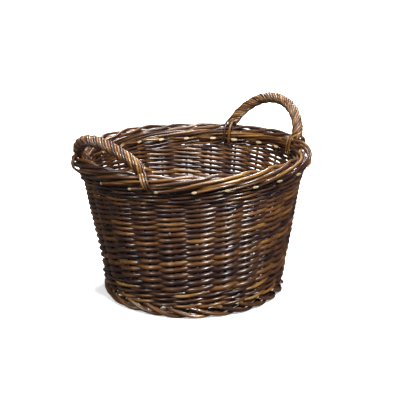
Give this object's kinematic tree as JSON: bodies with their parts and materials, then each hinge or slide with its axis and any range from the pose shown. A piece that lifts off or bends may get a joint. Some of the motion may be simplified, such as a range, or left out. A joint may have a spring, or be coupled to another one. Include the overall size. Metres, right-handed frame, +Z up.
{
  "type": "wicker log basket",
  "caption": "Round flared willow log basket with a thick rod border, a foot border and two roped bow handles, in dark varnished wicker.",
  "frame": {"origin": "on the floor under the centre of the basket", "axes": "+Z up; the two handles stand over +X and -X"},
  "size_m": [0.4672, 0.45, 0.3521],
  "materials": {
    "woven_willow": "gloss varnish",
    "dark_stake": "gloss varnish",
    "brown_stick": "gloss varnish",
    "roped_willow": "gloss varnish"
  },
  "bodies": {
    "root": {"base_stick_slit_1": "brown_stick", "base_stick_slit_2": "brown_stick", "base_stick_slit_3": "brown_stick", "base_stick_threaded_1": "brown_stick", "base_stick_threaded_2": "brown_stick", "base_stick_threaded_3": "brown_stick", "base_weave": "woven_willow", "border": "dark_stake", "foot_border": "dark_stake", "handle_bow_left": "brown_stick", "handle_bow_right": "brown_stick", "handle_lashing_left_back": "roped_willow", "handle_lashing_left_front": "roped_willow", "handle_lashing_right_back": "roped_willow", "handle_lashing_right_front": "roped_willow", "handle_roping_left": "roped_willow", "handle_roping_right": "roped_willow", "side_stake_01": "dark_stake", "side_stake_02": "dark_stake", "side_stake_03": "dark_stake", "side_stake_04": "dark_stake", "side_stake_05": "dark_stake", "side_stake_06": "dark_stake", "side_stake_07": "dark_stake", "side_stake_08": "dark_stake", "side_stake_09": "dark_stake", "side_stake_10": "dark_stake", "side_stake_11": "dark_stake", "side_stake_12": "dark_stake", "side_stake_13": "dark_stake", "side_stake_14": "dark_stake", "side_stake_15": "dark_stake", "side_stake_16": "dark_stake", "side_stake_17": "dark_stake", "side_stake_18": "dark_stake", "side_stake_19": "dark_stake", "side_stake_20": "dark_stake", "side_stake_21": "dark_stake", "side_stake_22": "dark_stake", "side_stake_23": "dark_stake", "side_stake_24": "dark_stake", "siding_weave": "woven_willow", "top_wale": "woven_willow", "upsett_wale": "woven_willow"}
  },
  "joints": []
}
